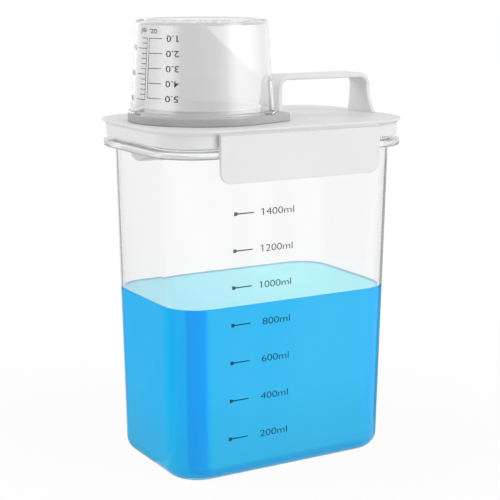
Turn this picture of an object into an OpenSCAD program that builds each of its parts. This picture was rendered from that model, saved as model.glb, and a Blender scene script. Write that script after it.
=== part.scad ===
// Detergent dispenser: a clear box with a latched lid, a strap handle,
// a round pouring spout and a measuring cup that stores mouth down over it.
// Length runs along X and width along Y. The ground is z = 0.

/* [Container] */
// Length of the container at the ground
base_len = 129.4; // [120:0.2:150]
// Width of the container at the ground
base_wid = 82.2; // [78:0.2:100]
// Height of the container's rim
rim_z = 180.2; // [150:0.1:230]
// Outward lean of every wall, in degrees
wall_draft = 0.91; // [0.3:0.01:1.5]
// Radius of the upright corners
corner_r = 19.2; // [14:0.1:26]
// Radius around the foot of the walls
foot_r = 7.5; // [3.5:0.5:10]
// Thickness of the container's walls
wall_t = 2; // [1.4:0.1:3]
// Thickness of the container's floor
floor_t = 2.4; // [1.6:0.1:4]

/* [Flange] */
// How far the flange stands out from the wall at the ends
flange_out = 6.1; // [5.5:0.1:8]
// How far the flange stands out from the wall on the long sides
flange_side_out = 5.07; // [5:0.01:8]
// Thickness of the flange
flange_t = 3.5; // [2.5:0.1:5]
// Height from the flange's underside to the rim
flange_drop = 10; // [9:0.1:14]
// Height of the ridge that runs round the neck
neck_rib_h = 1; // [0.6:0.1:1.4]

/* [Detergent] */
// Height of the liquid's surface
fill_z = 92.3; // [30:0.1:150]

/* [Lid] */
// How far the lid's plate stands out beyond the flange, at the ends
plate_end_over = 0.66; // [0:0.01:3]
// Radius of the plate's corners
plate_r = 28; // [22:0.5:34]
// Thickness of the plate
plate_t = 2.2; // [1.6:0.1:3.5]
// Depth of the lip that stands out round the plate
lip_h = 2.7; // [2.3:0.1:3.6]
// Height of the lip's upright edge
lip_edge = 0.9; // [0.5:0.1:1.5]
// Gap round the neck that the gasket fills
channel_w = 2.6; // [1.8:0.1:3]
// Thickness of the skirt
skirt_t = 1.8; // [1.2:0.1:2.4]
// Gap between the skirt and the flange below it
skirt_gap = 1.95; // [1:0.05:3]
// Thickness of the wall that plugs the neck
plug_t = 1.6; // [1.2:0.1:2.4]
// Depth of that wall below the plate
plug_h = 7; // [4:0.5:9]

/* [Gasket] */
// Thickness of the pad between the rim and the plate
gasket_t = 2.2; // [1:0.1:3]
// Depth of the gasket's skirt around the neck
gasket_h = 3; // [2:0.1:4]

/* [Latches] */
// Width of each latch
latch_w = 94.6; // [60:0.2:96]
// Height of each latch
latch_h = 23.9; // [20:0.1:30]
// Thickness of each latch
latch_t = 1.85; // [1.5:0.05:1.9]
// Radius of a latch's lower corners
latch_r = 6; // [3:0.5:10]
// Radius of the catch bead inside a latch
catch_r = 0.85; // [0.5:0.05:0.9]
// How far the catch bead stops short of the latch's sides
catch_inset = 5; // [3:0.5:12]
// Height of the finger rib along a latch's lower edge
finger_rib_h = 1.2; // [0.8:0.1:2]
// How far the finger rib stands in from the latch
finger_rib_out = 0.8; // [0.4:0.1:0.9]

/* [Spout] */
// Gap between the cup's soft ring and the end of the lid
cup_end_gap = 5.16; // [3:0.01:12]
// Outer radius of the spout's collar
collar_r = 31; // [26:0.1:32]
// Thickness of the spout's wall
collar_t = 1.8; // [1.4:0.1:2.5]
// Height of the collar above the lid
collar_h = 7.4; // [6:0.1:12]
// How far the flange that seats the spout stands out from the collar
spout_seat_out = 3.5; // [2:0.1:4]
// Thickness of that flange
spout_seat_t = 1.5; // [1:0.1:2]
// Depth of the spout below the lid's plate
spout_drop = 4; // [3:0.5:8]
// Thickness of the spout's gasket
spout_gasket_t = 0.8; // [0.6:0.1:1.2]

/* [Cup] */
// How far the cup's wall stands outside the spout's flange
cup_over = 3.4; // [2.5:0.1:6]
// How much narrower the cup is at its floor than at its mouth
cup_taper = 3.4; // [1:0.1:6]
// Height of the cup's floor above the lid, as stored
cup_h = 52.6; // [40:0.1:70]
// Thickness of the cup's wall
cup_t = 1.3; // [1:0.1:2]
// Thickness of the cup's floor
cup_floor_t = 1.6; // [1:0.1:3]
// Radius of the edge round the cup's floor
cup_edge_r = 3; // [2:0.1:5]
// How far the rim bead stands out from the cup's wall
cup_bead_out = 1.2; // [1:0.1:2]
// Thickness of the rim bead
cup_bead_t = 2.1; // [1.4:0.1:3]

/* [Cup seal] */
// Height of the soft ring round the cup's mouth
seal_h = 3.9; // [3:0.1:6]
// Thickness of the ring's floor under the cup's wall
seal_floor_t = 1.3; // [0.8:0.1:2]
// How far the thumb tab stands out from the ring
tab_out = 6.9; // [4:0.1:12]
// Radius of the tab's tip
tab_r = 7; // [4:0.1:10]
// Angle of the tab, clockwise from +X, in degrees
tab_angle = 35; // [20:1:70]

/* [Handle] */
// Gap between the cup's soft ring and the handle
handle_ring_gap = 0.6; // [0.3:0.1:5]
// Gap between the handle and the end of the lid
handle_end_gap = 1.76; // [1:0.01:8]
// Height of the handle's top above the lid
handle_h = 22; // [18:0.1:34]
// Thickness of the strap
strap_t = 2.6; // [2:0.1:3.2]
// Width of the strap along the bar
strap_w = 17; // [14:0.1:24]
// Width of each foot where it meets the lid
foot_w = 25; // [22:0.1:30]
// How far each foot splays outwards
splay = 1.6; // [0.5:0.1:2]
// Height of the flared stretch of a leg
flare_h = 14; // [8:0.1:16]
// Inner radius of the bends between bar and legs
bend_r = 4; // [2:0.1:6]
// Depth of the tenon under each foot, set into the lid
tenon_h = 1.2; // [0.6:0.1:1.4]
// Width of the tenon under each foot
tenon_w = 18; // [10:0.5:22]

/* [Fits] */
// Gap between pieces that slide or swing past each other
clearance = 0.3; // [0.2:0.05:0.4]
// Gap along the hinge line of a latch
hinge_gap = 0.1; // [0.05:0.01:0.2]
// Gap between the cup's wall and its soft ring
seal_gap = 0.05; // [0:0.01:0.2]
// Gap between the liquid and the walls
fill_gap = 0.1; // [0.05:0.05:0.3]

/* [Hidden] */
$fn = 96;

lean = tan(wall_draft);
sliver = 0.01;
through = 1;

// Half-lengths [x, y] of the container's outside at height z
function wall_half(z) = [base_len / 2 + lean * z, base_wid / 2 + lean * z];
// Both half-lengths grown by d
function grown(half, d) = [half[0] + d, half[1] + d];
// Inset of a quarter-round foot of radius r at height z
function foot_inset(r, z) = z >= r ? 0 : r - sqrt(max(0, r * r - (r - z) * (r - z)));

neck_half = wall_half(rim_z);
flange_z = rim_z - flange_drop;
flange_top = flange_z + flange_t;
flange_half = wall_half(flange_z) + [flange_out, flange_side_out];
flange_r = corner_r + flange_out;

plate_z = rim_z + gasket_t;
lid_top = plate_z + plate_t;
lip_z = lid_top - lip_h;
latch_back = flange_half[1] + clearance + max(catch_r, finger_rib_out);
latch_face = latch_back + latch_t;
plate_half = [flange_half[0] + plate_end_over, latch_face];
skirt_half = grown(neck_half, channel_w + skirt_t);
skirt_r = corner_r + channel_w + skirt_t;
skirt_z = flange_top + skirt_gap;
plug_half = grown(wall_half(plate_z - plug_h), -wall_t - clearance);

hinge_z = lip_z;
latch_top = hinge_z - hinge_gap;
catch_z = flange_z - catch_r - clearance;

collar_bore = collar_r - collar_t;
spout_seat_r = collar_r + spout_seat_out;
seat_z = lid_top + spout_gasket_t;

cup_base = lid_top;
cup_mouth_r = spout_seat_r + cup_over;
cup_floor_r = cup_mouth_r - cup_taper;
cup_mouth_z = cup_base + seal_floor_t;
bead_z = cup_base + seal_h;
bead_r = cup_mouth_r + cup_bead_out;
cup_top = cup_base + cup_h;
seal_hole_r = spout_seat_r + clearance;
spout_x = plate_half[0] - cup_end_gap - bead_r;

tab_reach = bead_r + tab_out;
ring_reach = max(bead_r, (tab_reach - tab_r) * cos(tab_angle) + tab_r);

foot_start = ring_reach - spout_x + handle_ring_gap;
foot_end = plate_half[0] - handle_end_gap;
handle_x = (foot_start + foot_end) / 2;
leg_out = (foot_end - foot_start) / 2 - splay;
leg_in = leg_out - strap_t;
tenon_x = leg_in + splay + strap_t / 2;

// A flat rounded rectangle, from its half-lengths and corner radius
module outline(half, r) {
    square([2 * (half[0] - r), 2 * half[1]], center = true);
    square([2 * half[0], 2 * (half[1] - r)], center = true);
    for (x = [-1, 1], y = [-1, 1])
        translate([x * (half[0] - r), y * (half[1] - r)])
            circle(r);
}

// A rounded slab standing on height z
module slab(half, r, z, h) {
    translate([0, 0, z])
        linear_extrude(h)
            outline(half, r);
}

// A rounded frame: a slab with a rounded hole
module frame(half, r, hole_half, hole_r, z, h) {
    difference() {
        slab(half, r, z, h);
        slab(hole_half, hole_r, z - through, h + 2 * through);
    }
}

// A leaning, round-footed block: the outside shape moved in by d, from z0 to z1
module leaning_block(d, r_foot, z0, z1) {
    steps = 5;
    hull() {
        for (i = [0 : steps]) {
            z = z0 + r_foot * (1 - cos(90 * i / steps));
            slab(grown(wall_half(z), -d - foot_inset(r_foot, z - z0)),
                 corner_r - d - foot_inset(r_foot, z - z0), z, sliver, $fn = 64);
        }
        slab(grown(wall_half(z1), -d), corner_r - d, z1 - sliver, sliver, $fn = 64);
    }
}

// Clear moulded box with its flange and the rib round its neck
module container_body() {
    color([0.88, 0.92, 0.95, 0.35])
        difference() {
            union() {
                leaning_block(0, foot_r, 0, rim_z);
                slab(flange_half, flange_r, flange_z, flange_t);
                slab(grown(neck_half, neck_rib_h), corner_r + neck_rib_h,
                     flange_top + skirt_gap / 2, neck_rib_h / 2);
            }
            leaning_block(wall_t, max(foot_r - wall_t, 1), floor_t, rim_z + through);
        }
}

// Liquid detergent, as a solid that fills the lower cavity
module detergent_fill() {
    color([0.16, 0.62, 0.93, 0.8])
        leaning_block(wall_t + fill_gap, max(foot_r - wall_t, 1), floor_t + fill_gap, fill_z);
}

// Plate with its thin, undercut lip; the lip is full depth over each latch
module lid_plate() {
    slab(plate_half, plate_r, lid_top - lip_edge, lip_edge);
    hull() {
        slab(plate_half, plate_r, lid_top - lip_edge, sliver, $fn = 64);
        slab(skirt_half, skirt_r, lip_z, sliver, $fn = 64);
    }
    translate([0, 0, (lid_top + lip_z) / 2])
        cube([latch_w, 2 * latch_face, lip_h], center = true);
}

// White lid: plate, skirt and the wall that plugs the neck
module lid_cover() {
    color([0.93, 0.93, 0.93])
        difference() {
            union() {
                difference() {
                    lid_plate();
                    slab(grown(skirt_half, -skirt_t), skirt_r - skirt_t,
                         lip_z - through, plate_z - lip_z + through);
                }
                frame(skirt_half, skirt_r, grown(skirt_half, -skirt_t), skirt_r - skirt_t,
                      skirt_z, plate_z - skirt_z);
                frame(plug_half, corner_r - wall_t - clearance,
                      grown(plug_half, -plug_t), corner_r - wall_t - clearance - plug_t,
                      plate_z - plug_h, plug_h);
            }
            translate([-spout_x, 0, plate_z - through])
                cylinder(r = collar_r + clearance, h = plate_t + 2 * through);
            translate([handle_x, 0, lid_top])
                foot_tenons();
        }
}

// Soft gasket that fills the channel between the skirt and the plug
module lid_gasket() {
    outer = grown(skirt_half, -skirt_t);
    outer_r = skirt_r - skirt_t;
    color([0.80, 0.82, 0.83])
        union() {
            frame(outer, outer_r, plug_half, corner_r - wall_t - clearance,
                  rim_z, gasket_t);
            frame(outer, outer_r, grown(neck_half, clearance), corner_r + clearance,
                  rim_z - gasket_h, gasket_h + gasket_t / 2);
        }
}

// Pouring collar that seats in the lid, with a flared drip lip
module pour_spout() {
    lip_out = collar_t / 3;
    top = lid_top + collar_h;
    color([0.95, 0.95, 0.95])
        translate([-spout_x, 0, 0])
            rotate_extrude()
                polygon([
                    [collar_bore, plate_z - spout_drop],
                    [collar_r, plate_z - spout_drop],
                    [collar_r, seat_z],
                    [spout_seat_r, seat_z],
                    [spout_seat_r, seat_z + spout_seat_t],
                    [collar_r - lip_out, seat_z + spout_seat_t],
                    [collar_r - lip_out, top - 2 * lip_out],
                    [collar_r, top - lip_out],
                    [collar_r, top],
                    [collar_bore + lip_out, top],
                    [collar_bore, top - lip_out]
                ]);
}

// Flat soft washer under the spout's flange
module spout_gasket() {
    color([0.78, 0.80, 0.81])
        translate([-spout_x, 0, lid_top])
            difference() {
                cylinder(r = spout_seat_r, h = spout_gasket_t);
                translate([0, 0, -through])
                    cylinder(r = collar_r, h = spout_gasket_t + 2 * through);
            }
}

// Points of an arc in the plane, centre c, radius r, from angle a to angle b
function arc(c, r, a, b, steps = 8) =
    [for (i = [0 : steps]) let (t = a + (b - a) * i / steps)
        [c[0] + r * cos(t), c[1] + r * sin(t)]];

// Outward splay of a leg's face at height h above the lid
function splay_at(h) = h >= flare_h ? 0 : splay * pow(1 - h / flare_h, 1.6);
// Half-width of the strap at height h above the lid
function half_width_at(h) = strap_w / 2
    + (h >= flare_h ? 0 : (foot_w - strap_w) / 2 * pow(1 - h / flare_h, 2));
flare_steps = 6;
flare_heights = [for (i = [0 : flare_steps]) flare_h * i / flare_steps];

// Right half of the strap seen from the side, from the middle of the bar down
function strap_half() = concat(
    [[0, handle_h - strap_t]],
    arc([leg_in - bend_r, handle_h - strap_t - bend_r], bend_r, 90, 0),
    [for (i = [flare_steps : -1 : 0]) [leg_in + splay_at(flare_heights[i]), flare_heights[i]]],
    [for (h = flare_heights) [leg_out + splay_at(h), h]],
    arc([leg_in - bend_r, handle_h - strap_t - bend_r], bend_r + strap_t, 0, 90),
    [[0, handle_h]]);

// Half of the strap seen from the end, as a flared blade
function blade_half() = concat(
    [[0, 0]],
    [for (h = flare_heights) [half_width_at(h), h]],
    [[strap_w / 2, handle_h + through], [0, handle_h + through]]);

// Tenons under the two feet, which the lid is cut to receive
module foot_tenons() {
    for (side = [-1, 1])
        translate([side * tenon_x, 0, -tenon_h / 2])
            cube([strap_t, tenon_w, tenon_h], center = true);
}

// White strap handle, seated in the lid by a tenon under each foot
module carry_handle() {
    color([0.90, 0.90, 0.90])
        translate([handle_x, 0, lid_top]) {
            intersection() {
                rotate([90, 0, 0])
                    linear_extrude(2 * foot_w, center = true)
                        for (side = [0, 1])
                            mirror([side, 0])
                                polygon(strap_half());
                rotate([90, 0, 90])
                    linear_extrude(4 * leg_out, center = true)
                        for (side = [0, 1])
                            mirror([side, 0])
                                polygon(blade_half());
            }
            foot_tenons();
        }
}

// A latch seen from outside, hung from the hinge line at the origin
module latch_outline() {
    translate([-latch_w / 2, -latch_h + latch_r])
        square([latch_w, latch_h - latch_r]);
    translate([-latch_w / 2 + latch_r, -latch_h])
        square([latch_w - 2 * latch_r, latch_r + sliver]);
    for (x = [-1, 1])
        translate([x * (latch_w / 2 - latch_r), -latch_h + latch_r])
            circle(latch_r);
}

// Latch on the side that faces -Y
module latch() {
    color([0.94, 0.94, 0.94]) {
        translate([0, -latch_back, latch_top])
            rotate([90, 0, 0])
                linear_extrude(latch_t)
                    latch_outline();
        translate([-latch_w / 2 + catch_inset, -latch_back, catch_z])
            rotate([0, 90, 0])
                cylinder(r = catch_r, h = latch_w - 2 * catch_inset);
        translate([0, -latch_back + finger_rib_out / 2 - sliver,
                   latch_top - latch_h + finger_rib_h / 2])
            cube([latch_w - 2 * latch_r, finger_rib_out, finger_rib_h], center = true);
    }
}

module front_latch() {
    latch();
}

module rear_latch() {
    rotate([0, 0, 180])
        latch();
}

// Clear cup, stored mouth down over the spout
module measuring_cup() {
    slope = (cup_mouth_r - cup_floor_r) / (cup_top - bead_z);
    edge_z = cup_top - cup_edge_r;
    inner_edge_r = max(cup_edge_r - cup_floor_t, 1);
    inner_top = cup_top - cup_floor_t;
    color([0.90, 0.93, 0.95, 0.4])
        translate([-spout_x, 0, 0])
            rotate_extrude()
                polygon(concat(
                    [[cup_mouth_r - cup_t, cup_mouth_z],
                     [cup_mouth_r, cup_mouth_z],
                     [cup_mouth_r, bead_z],
                     [bead_r, bead_z],
                     [bead_r, bead_z + cup_bead_t],
                     [cup_mouth_r - slope * cup_bead_t, bead_z + cup_bead_t]],
                    arc([cup_floor_r + slope * cup_edge_r - cup_edge_r, edge_z],
                        cup_edge_r, 0, 90),
                    [[0, cup_top], [0, inner_top]],
                    arc([cup_floor_r - cup_t + slope * cup_edge_r - inner_edge_r,
                         inner_top - inner_edge_r], inner_edge_r, 90, 0),
                    [[cup_mouth_r - cup_t, bead_z]]));
}

// Outline of the ring with its tab: two arcs joined by straight sides
module tab_outline() {
    tip = tab_reach - tab_r;
    touch = acos((bead_r - tab_r) / tip);
    rotate(-tab_angle)
        polygon(concat(
            arc([0, 0], bead_r, touch, 360 - touch, 72),
            arc([tip, 0], tab_r, -touch, touch, 18)));
}

// Soft grey ring round the cup's mouth, with a thumb tab
module cup_seal_ring() {
    color([0.60, 0.61, 0.62, 0.9])
        translate([-spout_x, 0, cup_base])
            difference() {
                linear_extrude(seal_h)
                    tab_outline();
                translate([0, 0, -through])
                    cylinder(r = seal_hole_r, h = seal_floor_t + 2 * through);
                translate([0, 0, seal_floor_t])
                    cylinder(r = cup_mouth_r + seal_gap, h = seal_h);
            }
}

container_body();
detergent_fill();
lid_cover();
lid_gasket();
pour_spout();
spout_gasket();
carry_handle();
front_latch();
rear_latch();
measuring_cup();
cup_seal_ring();
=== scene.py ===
import math

import bmesh
import bpy
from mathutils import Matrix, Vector


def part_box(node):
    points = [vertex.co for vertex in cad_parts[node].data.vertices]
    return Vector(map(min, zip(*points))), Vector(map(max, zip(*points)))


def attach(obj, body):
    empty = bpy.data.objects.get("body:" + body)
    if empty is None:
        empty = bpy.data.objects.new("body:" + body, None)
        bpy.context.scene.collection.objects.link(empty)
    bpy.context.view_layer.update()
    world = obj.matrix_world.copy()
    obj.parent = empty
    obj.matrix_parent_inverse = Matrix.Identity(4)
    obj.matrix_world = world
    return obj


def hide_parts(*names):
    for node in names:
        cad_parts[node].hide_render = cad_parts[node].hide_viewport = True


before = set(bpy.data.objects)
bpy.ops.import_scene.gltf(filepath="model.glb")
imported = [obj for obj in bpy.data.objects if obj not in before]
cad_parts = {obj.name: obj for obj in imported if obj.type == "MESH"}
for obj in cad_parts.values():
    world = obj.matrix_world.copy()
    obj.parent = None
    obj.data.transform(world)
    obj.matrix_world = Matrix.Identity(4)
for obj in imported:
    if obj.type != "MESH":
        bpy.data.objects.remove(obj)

bl_info = {
    "name": "Detergent dispenser",
    "version": (1, 0, 0),
    "blender": (4, 5, 0),
    "location": "3D View > Sidebar > Dispenser",
    "description": "Dresses a clear detergent dispenser: box, liquid, lid, handle, spout and cup",
    "category": "Object",
}

MM = 0.001
SAME = 1e-9                   # two sizes closer than this are the same
HAIR = 1e-6                   # vertices closer than this are the same
NEAR = 0.01 * MM              # slack for telling which level a vertex lies on
SHARP = math.radians(60)      # edges that turn by more than this get rounded
CORNER_STEPS = 16
ROUND_STEPS = 160
QUADRANTS = ((1, 1), (-1, 1), (-1, -1), (1, -1))
BOXES = {name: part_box(name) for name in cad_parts}


# ---------------------------------------------------------------- sizes that come from the frame

def low(node):
    return BOXES[node][0]


def high(node):
    return BOXES[node][1]


def middle(node):
    return (BOXES[node][0] + BOXES[node][1]) / 2


def sizes(group):
    """One of the groups of settings that the sidebar shows."""
    return getattr(bpy.context.scene, "dispenser_" + group)


# ---------------------------------------------------------------- properties

def length(name, description, default):
    """A size in metres that the sidebar shows with its unit."""
    return bpy.props.FloatProperty(
        name=name, description=description, default=default, min=0, unit="LENGTH", precision=5
    )


def angle(name, description, degrees):
    return bpy.props.FloatProperty(
        name=name, description=description, default=math.radians(degrees), unit="ROTATION"
    )


def share(name, description, default):
    return bpy.props.FloatProperty(
        name=name, description=description, default=default, min=0, max=1, subtype="FACTOR"
    )


def colour(name, description, default):
    return bpy.props.FloatVectorProperty(
        name=name, description=description, default=default, size=3, min=0, max=1, subtype="COLOR"
    )


class ContainerSizes(bpy.types.PropertyGroup):
    """Sizes of the clear box and of the liquid in it"""

    base_length: length("Base length", "Length of the box at the ground", 129.4 * MM)
    base_width: length("Base width", "Width of the box at the ground", 82.2 * MM)
    rim: length("Rim height", "Height of the rim above the ground", high("container_body").z)
    draft: angle("Draft", "Outward lean of the walls", 0.91)
    corner: length("Corner radius", "Radius of the upright corners", 19.2 * MM)
    foot: length("Foot radius", "Radius round the foot of the walls", 7.5 * MM)
    wall: length("Wall", "Thickness of the walls", 2 * MM)
    floor: length("Floor", "Thickness of the floor", 2.4 * MM)
    flange_out: length("Flange", "How far the flange stands out at the corners", 6.1 * MM)
    flange_low: length("Flange underside", "Height of the flange's underside", 170.2 * MM)
    flange_high: length("Flange top", "Height of the flange's top face", 173.7 * MM)
    flange_seat: length("Latch seat", "Half-width of the flange behind a latch", 48.87 * MM)
    rib_out: length("Neck rib", "How far the rib round the neck stands out", 1 * MM)
    fill: length("Fill height", "Height of the liquid's surface", high("detergent_fill").z)
    meniscus: length("Meniscus", "How far the liquid climbs the walls", 0.7 * MM)


class LidSizes(bpy.types.PropertyGroup):
    """Sizes of the lid, its gasket and its latches"""

    top: length("Top", "Height of the lid's top face", high("lid_cover").z)
    half_length: length("Half length", "Half of the plate's length", high("lid_cover").x)
    half_width: length("Half width", "Half of the plate's width", high("lid_cover").y)
    corner: length("Corner radius", "Radius of the plate's corners", 28 * MM)
    edge: length("Edge", "Height of the plate's upright edge", 0.9 * MM)
    lip: length("Lip", "Depth of the undercut lip", 2.7 * MM)
    plate: length("Plate", "Thickness of the plate", 2.2 * MM)
    skirt_out: length("Skirt", "How far the skirt's face stands out from the neck", 4.4 * MM)
    skirt: length("Skirt wall", "Thickness of the skirt", 1.8 * MM)
    skirt_low: length("Skirt bottom", "Height of the skirt's lower edge", 175.65 * MM)
    plug: length("Plug depth", "Depth of the wall that plugs the neck", 7 * MM)
    plug_wall: length("Plug wall", "Thickness of that wall", 1.6 * MM)
    latch_width: length("Latch width", "Width of each latch", 94.6 * MM)
    latch: length("Latch thickness", "Thickness of each latch", 1.85 * MM)
    latch_corner: length("Latch corners", "Radius of a latch's lower corners", 6 * MM)
    soft: length("Soft edge", "Radius that softens the moulded edges", 0.35 * MM)


class HandleSizes(bpy.types.PropertyGroup):
    """Sizes of the strap handle"""

    strap: length("Strap", "Thickness of the strap", 2.6 * MM)
    width: length("Width", "Width of the strap along the bar", 17 * MM)
    foot: length("Foot width", "Width of each foot at the lid", 25 * MM)
    splay: length("Splay", "How far each foot splays outwards", 1.6 * MM)
    flare: length("Flare", "Height of the flared stretch of a leg", 14 * MM)
    bend: length("Bend radius", "Inner radius of the bends", 4 * MM)
    soft: length("Soft edge", "Radius that softens the strap's edges", 0.8 * MM)


class CupSizes(bpy.types.PropertyGroup):
    """Sizes of the spout, the cup and the cup's soft ring"""

    collar: length("Collar radius", "Outer radius of the spout's collar", 31 * MM)
    collar_wall: length("Collar wall", "Thickness of the spout's wall", 1.8 * MM)
    seat: length("Seat radius", "Radius of the flange that seats the spout", 34.5 * MM)
    washer: length("Washer", "Thickness of the spout's washer", 0.8 * MM)
    mouth: length("Mouth radius", "Outer radius of the cup above its bead", 37.9 * MM)
    top: length("Floor radius", "Outer radius of the cup at its floor", 34.5 * MM)
    wall: length("Wall", "Thickness of the cup's wall", 1.3 * MM)
    floor: length("Floor", "Thickness of the cup's floor", 1.6 * MM)
    edge: length("Floor edge", "Radius of the edge round the cup's floor", 3 * MM)
    recess: length("Floor recess", "Depth of the hollow inside the foot ring", 0.5 * MM)
    bead_out: length("Bead", "How far the rim bead stands out", 1.2 * MM)
    bead: length("Bead thickness", "Thickness of the rim bead", 2.1 * MM)
    ring_floor: length("Ring floor", "Thickness of the ring's floor", 1.3 * MM)
    tab_out: length("Tab", "How far the thumb tab stands out from the ring", 6.9 * MM)
    tab: length("Tab radius", "Radius of the tab's tip", 7 * MM)
    tab_turn: angle("Tab angle", "Angle of the tab, clockwise from the length axis", 35)


class PrintSizes(bpy.types.PropertyGroup):
    """Sizes of the printed scales"""

    step: bpy.props.IntProperty(name="Step", description="Millilitres between marks", default=200)
    digit: length("Digit height", "Height of the figures on the box", 3.6 * MM)
    tick: length("Tick", "Length of a tick on the box", 11.5 * MM)
    ink: length("Ink", "How far the ink stands off the wall", 0.06 * MM)


class FinishColours(bpy.types.PropertyGroup):
    """Colours of the mouldings, the liquid and the ink"""

    white: colour("White plastic", "Lid, latches, handle and spout", (0.79, 0.79, 0.79))
    clear: colour("Clear plastic", "What the box's wall lets through", (0.983, 0.983, 0.983))
    cup: colour("Cup plastic", "What the cup's wall lets through", (0.765, 0.765, 0.765))
    # The liquid's tones behind the long walls, the short walls and the rounded corners are painted
    # shade for refraction, darkest behind the corners.
    liquid: colour("Liquid", "Liquid behind the long walls", (0.024, 0.485, 0.90))
    liquid_end: colour("Liquid ends", "Liquid behind the short walls", (0.001, 0.485, 0.97))
    liquid_bend: colour("Liquid bend", "Liquid beside the rounded corners", (0.004, 0.465, 1.0))
    corner_shade: colour("Deep liquid", "Liquid behind the rounded corners", (0.0, 0.35, 0.98))
    # Painted light: the liquid's top is a paler copy of its blue.
    surface: colour("Liquid surface", "The liquid's surface from above", (0.32, 0.95, 1.0))
    soft: colour("Gasket", "Soft clear gaskets", (0.72, 0.74, 0.75))
    ring: colour("Cup ring", "Grey soft ring round the cup", (0.485, 0.485, 0.49))
    ink: colour("Ink", "Printed figures and ticks", (0.012, 0.022, 0.026))


class StageSettings(bpy.types.PropertyGroup):
    """Camera and light"""

    lens: bpy.props.FloatProperty(
        name="Lens", description="Focal length", default=94.98, unit="CAMERA"
    )
    floor: colour("Floor", "Colour of the plain floor", (0.9, 0.9, 0.9))
    fill: share("Fill", "Level of the light from all round", 0.65)


# ---------------------------------------------------------------- modelling by hand

def deselect_all():
    if bpy.context.object is not None and bpy.context.object.mode != "OBJECT":
        bpy.ops.object.mode_set(mode="OBJECT")
    bpy.ops.object.select_all(action="DESELECT")


def take(piece):
    """Makes a piece the only selected and active one."""
    deselect_all()
    piece.select_set(True)
    bpy.context.view_layer.objects.active = piece


def edit(piece, mode="VERT"):
    """Opens a piece for editing with everything on it selected."""
    take(piece)
    bpy.ops.object.mode_set(mode="EDIT")
    bpy.ops.mesh.select_mode(type=mode)
    select_all()


def select_all():
    bpy.ops.mesh.select_all(action="SELECT")


def extrude(*step):
    bpy.ops.mesh.extrude_region_move(TRANSFORM_OT_translate={"value": step})


def scale(value, centre=(0, 0, 0)):
    bpy.ops.transform.resize(value=value, center_override=centre)


def shift(*step):
    bpy.ops.transform.translate(value=step)


def freeze():
    """Puts the place, turn and size of the active piece in its mesh."""
    bpy.ops.object.transform_apply(location=True, rotation=True, scale=True)


def name_new(name):
    """Names the primitive just added and puts its place in its mesh."""
    piece = bpy.context.object
    piece.name = piece.data.name = name
    freeze()
    return piece


def vertices(piece):
    """The vertices of a piece in edit mode."""
    return bmesh.from_edit_mesh(piece.data).verts


def ends(piece, axis):
    """The lowest and highest coordinate of a piece in edit mode, along one axis."""
    values = [v.co[axis] for v in vertices(piece)]
    return min(values), max(values)


def pick(piece, mode, test):
    """Selects, in edit mode, the vertices, edges or faces that pass a test."""
    bpy.ops.mesh.select_mode(type=mode)
    bpy.ops.mesh.select_all(action="DESELECT")
    mesh = bmesh.from_edit_mesh(piece.data)
    parts = {"VERT": mesh.verts, "EDGE": mesh.edges, "FACE": mesh.faces}[mode]
    found = [part for part in parts if test(part)]
    for part in found:
        part.select_set(True)
    mesh.select_flush_mode()
    bmesh.update_edit_mesh(piece.data)
    if not found:
        raise RuntimeError(f"nothing on {piece.name} passes the test")


def middle_of(part):
    """The middle of an edge or face."""
    return sum((v.co for v in part.verts), Vector()) / len(part.verts)


def is_sharp(edge):
    return edge.calc_face_angle(0) > SHARP


def round_edges(piece, width, test, segments=4):
    """Rounds the edges that pass a test."""
    pick(piece, "EDGE", test)
    bpy.ops.mesh.bevel(offset=width, segments=segments, affect="EDGES")


def cut(place, way, **settings):
    """Cuts the selected faces along a plane."""
    bpy.ops.mesh.bisect(plane_co=place, plane_no=way, **settings)


def add_outline(name, levels):
    """Raises a flat rounded rectangle through levels, each (half x, half y, radius, height)."""
    half_x, half_y, radius, height = levels[0]
    deselect_all()
    bpy.ops.mesh.primitive_plane_add(size=2, location=(0, 0, height))
    piece = name_new(name)
    edit(piece)
    scale((half_x, half_y, 1), (0, 0, height))
    bpy.ops.mesh.bevel(offset=radius, segments=CORNER_STEPS, affect="VERTICES")
    select_all()
    for old, new in zip(levels, levels[1:]):
        extrude(0, 0, new[3] - old[3])
        if any(abs(a - b) > SAME for a, b in zip(old[:3], new[:3])):
            move_corners(piece, old, new)
    return piece


def select_only(piece, wanted):
    """Selects vertices by their index, with the edges and faces between them."""
    bpy.ops.mesh.select_all(action="DESELECT")
    mesh = bmesh.from_edit_mesh(piece.data)
    mesh.verts.ensure_lookup_table()
    for i in wanted:
        mesh.verts[i].select_set(True)
    mesh.select_flush(True)
    bmesh.update_edit_mesh(piece.data)


def move_corners(piece, old, new):
    """Reshapes the selected loop from one rounded rectangle to another, corner by corner."""
    loop = [(v.index, v.co.x, v.co.y) for v in vertices(piece) if v.select]
    for sx, sy in QUADRANTS:
        select_only(piece, [i for i, x, y in loop if x * sx > 0 and y * sy > 0])
        centre = (sx * (old[0] - old[2]), sy * (old[1] - old[2]), new[3])
        if abs(new[2] - old[2]) > SAME:
            ratio = new[2] / old[2]
            scale((ratio, ratio, 1), centre)
        step = (sx * (new[0] - new[2]) - centre[0], sy * (new[1] - new[2]) - centre[1], 0)
        if max(map(abs, step)) > SAME:
            shift(*step)
    select_only(piece, [i for i, x, y in loop])


def add_ring(name, centre, radius, height, steps=ROUND_STEPS):
    """Starts a turned piece as one disc, selected in edit mode."""
    deselect_all()
    bpy.ops.mesh.primitive_circle_add(
        vertices=steps, radius=radius, fill_type="NGON", location=(centre, 0, height)
    )
    piece = name_new(name)
    edit(piece)
    return piece


def turn_profile(name, centre, profile, closed=True):
    """Shapes a turned piece by extruding and scaling one ring through (radius, height) points."""
    piece = add_ring(name, centre, *profile[0])
    points = list(profile) + ([profile[0]] if closed else [])
    for (r0, z0), (r1, z1) in zip(points, points[1:]):
        extrude(0, 0, z1 - z0)
        if abs(r1 - r0) > SAME:
            scale((r1 / r0, r1 / r0, 1), (centre, 0, z1))
    if closed:
        open_ends(piece)
    return piece


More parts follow.
